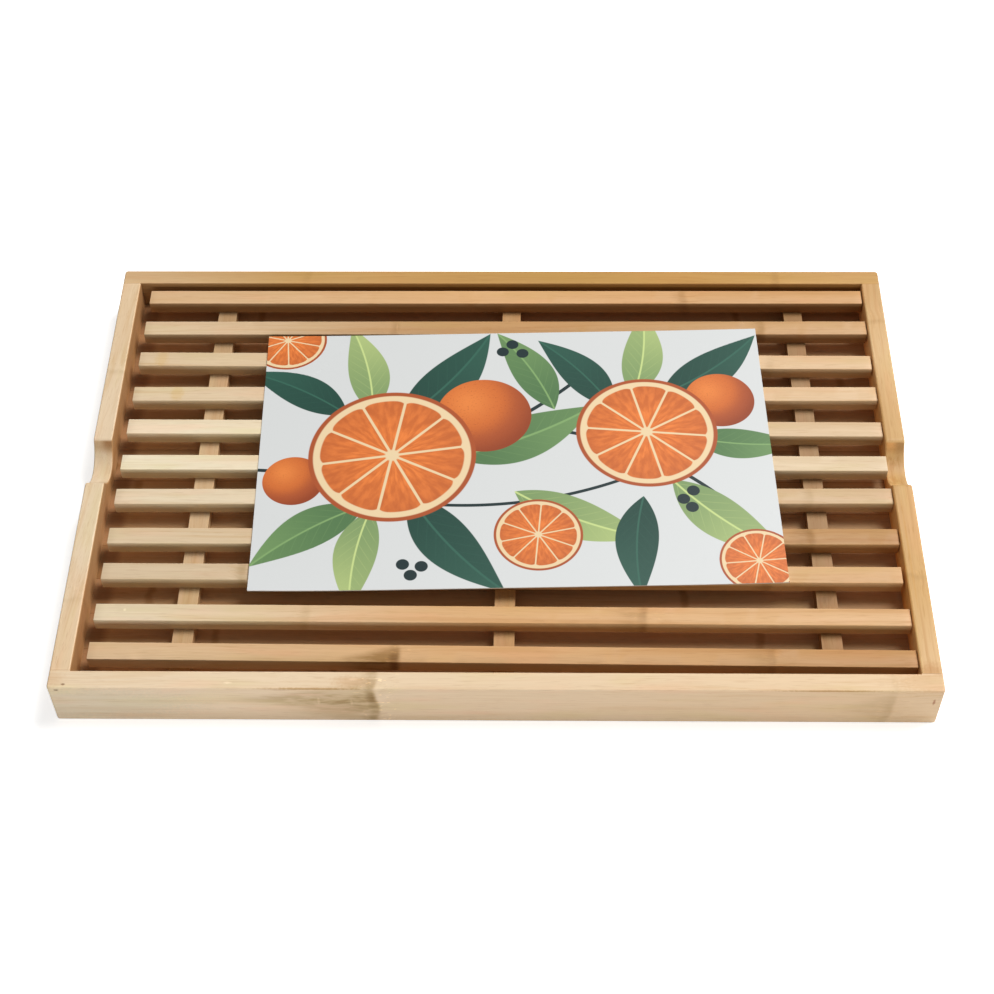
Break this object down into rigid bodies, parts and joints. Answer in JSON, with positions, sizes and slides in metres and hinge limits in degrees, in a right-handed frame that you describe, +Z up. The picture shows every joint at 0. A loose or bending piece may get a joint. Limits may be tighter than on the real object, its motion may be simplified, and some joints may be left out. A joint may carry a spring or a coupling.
{
  "type": "bread board",
  "caption": "Rectangular bamboo bread board: a slatted cutting rack that lifts out of a shallow framed crumb tray, with finger notches at both ends and a loose printed card.",
  "frame": {"origin": "middle of the tray's footprint, on the surface it stands on", "axes": "+X to the right along the board's length, +Y to the rear, +Z up"},
  "size_m": [0.38, 0.25, 0.0245],
  "materials": {
    "bamboo_rail": "oiled pressed bamboo, fine straight grain, satin",
    "bamboo_panel": "bamboo ply panel, matt",
    "bamboo_slat": "oiled pressed bamboo, fine straight grain, satin",
    "bamboo_bar": "oiled pressed bamboo, satin",
    "brad_steel": "plain steel wire",
    "printed_card": null
  },
  "bodies": {
    "tray": {"front_rail": "bamboo_rail", "rear_rail": "bamboo_rail", "left_rail": "bamboo_rail", "right_rail": "bamboo_rail", "base_panel": "bamboo_panel"},
    "rack": {"slat_01": "bamboo_slat", "slat_02": "bamboo_slat", "slat_03": "bamboo_slat", "slat_04": "bamboo_slat", "slat_05": "bamboo_slat", "slat_06": "bamboo_slat", "slat_07": "bamboo_slat", "slat_08": "bamboo_slat", "slat_09": "bamboo_slat", "slat_10": "bamboo_slat", "slat_11": "bamboo_slat", "bar_left": "bamboo_bar", "bar_middle": "bamboo_bar", "bar_right": "bamboo_bar", "rack_brads": "brad_steel"},
    "card": {"insert_card": "printed_card"}
  },
  "joints": [
    {"name": "rack_lift", "type": "slide", "parent": "tray", "child": "rack", "axis": [0, 0, 1], "range_m": [0, 0.06]},
    {"name": "card_lift", "type": "slide", "parent": "rack", "child": "card", "axis": [0, 0, 1], "range_m": [0, 0.05]}
  ]
}
